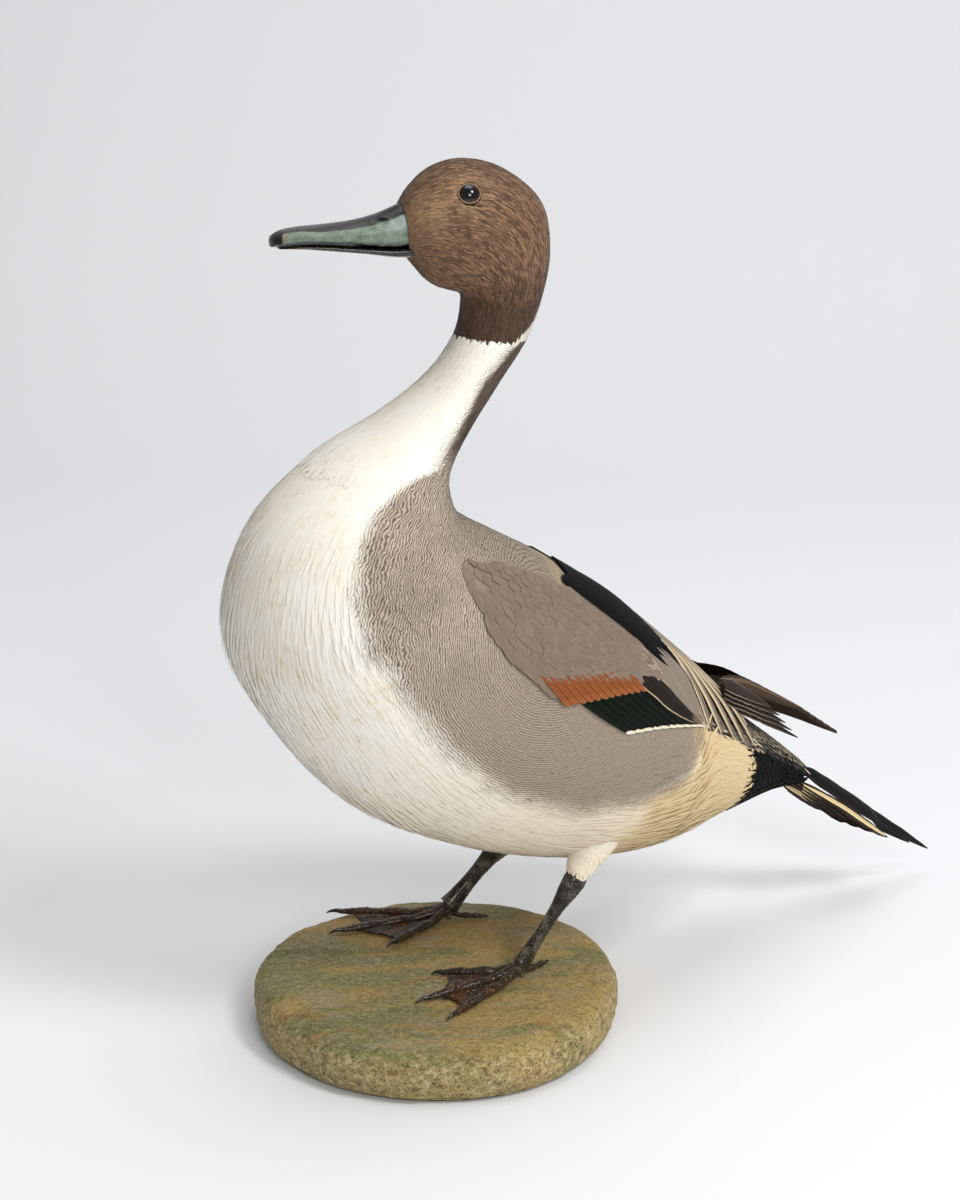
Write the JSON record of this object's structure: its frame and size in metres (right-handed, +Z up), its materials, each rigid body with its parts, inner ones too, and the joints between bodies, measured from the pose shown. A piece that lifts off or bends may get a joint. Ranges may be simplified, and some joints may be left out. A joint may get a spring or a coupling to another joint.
{
  "type": "mounted duck",
  "caption": "Standing drake duck mount with raised neck and long pointed tail, wired through its webbed feet to a round stone-finish base with a flat felted underside.",
  "frame": {"origin": "centre of the base's flat underside", "axes": "+Z up; the bird faces -X and its left side is towards -Y"},
  "size_m": [0.3656, 0.1524, 0.3626],
  "materials": {
    "hood_brown": "matte brown head plumage with fine darker streaks",
    "white_feather": "off-white plumage with faint yellow-tan stains",
    "grey_feather": "grey plumage with fine wavy dark lines",
    "wing_grey": "plain grey-brown wing coverts with pale feather edges",
    "rufous_feather": "rufous-orange tips of the greater coverts",
    "green_feather": "dark green flight feathers with white trailing edges",
    "black_feather": "black plumage with a slight sheen",
    "striped_feather": "long feathers striped cream, grey and black",
    "flight_brown": "dark brown flight feathers with paler edges",
    "bill_horn": "varnished horn, grey-green sides, black ridge and nail",
    "bill_black": "varnished horn, black",
    "eye_glass": "clear glass over a dark brown painted iris",
    "leg_skin": "dried dark grey-black scaly skin with a slight varnish gloss",
    "stone_paint": "moulded plaster skin painted as mossy ochre stone",
    "turned_wood": "turned wooden disc, unfinished",
    "felt": "thin dark green felt",
    "wood_wool": "bound wood wool, low density, unfinished",
    "wrapped_tow": "wound tow and thread",
    "carved_wood": "carved softwood, unfinished",
    "steel_wire": "plain annealed wire, dull"
  },
  "bodies": {
    "root": {"base_core": "turned_wood", "base_felt": "felt", "base_stone": "stone_paint", "body_form": "wood_wool", "breast_feathers": "white_feather", "head_form": "carved_wood", "head_hide": "hood_brown", "left_eye": "eye_glass", "left_flank_feathers": "grey_feather", "left_foot": "leg_skin", "left_greater_coverts": "rufous_feather", "left_hind_toe": "leg_skin", "left_inner_primaries": "flight_brown", "left_leg_wire": "steel_wire", "left_long_scapular_lower": "striped_feather", "left_long_scapular_upper": "striped_feather", "left_long_tail_feather": "black_feather", "left_outer_primaries": "flight_brown", "left_scapulars": "black_feather", "left_secondaries": "green_feather", "left_tail_fan": "striped_feather", "left_tarsus": "leg_skin", "left_tertial_lower": "striped_feather", "left_tertial_middle": "striped_feather", "left_tertial_upper": "striped_feather", "left_thigh_feathers": "white_feather", "left_wing_coverts": "wing_grey", "left_wing_wire": "steel_wire", "left_wire_nut": "steel_wire", "lower_bill": "bill_black", "mantle_feathers": "grey_feather", "neck_hide": "white_feather", "neck_wire": "steel_wire", "neck_wrap": "wrapped_tow", "right_eye": "eye_glass", "right_flank_feathers": "grey_feather", "right_foot": "leg_skin", "right_greater_coverts": "rufous_feather", "right_hind_toe": "leg_skin", "right_inner_primaries": "flight_brown", "right_leg_wire": "steel_wire", "right_long_scapular_lower": "striped_feather", "right_long_scapular_upper": "striped_feather", "right_long_tail_feather": "black_feather", "right_outer_primaries": "flight_brown", "right_scapulars": "black_feather", "right_secondaries": "green_feather", "right_tail_fan": "striped_feather", "right_tarsus": "leg_skin", "right_tertial_lower": "striped_feather", "right_tertial_middle": "striped_feather", "right_tertial_upper": "striped_feather", "right_thigh_feathers": "white_feather", "right_wing_coverts": "wing_grey", "right_wing_wire": "steel_wire", "right_wire_nut": "steel_wire", "rump_feathers": "grey_feather", "tail_wire": "steel_wire", "undertail_feathers": "black_feather", "upper_bill": "bill_horn"}
  },
  "joints": []
}
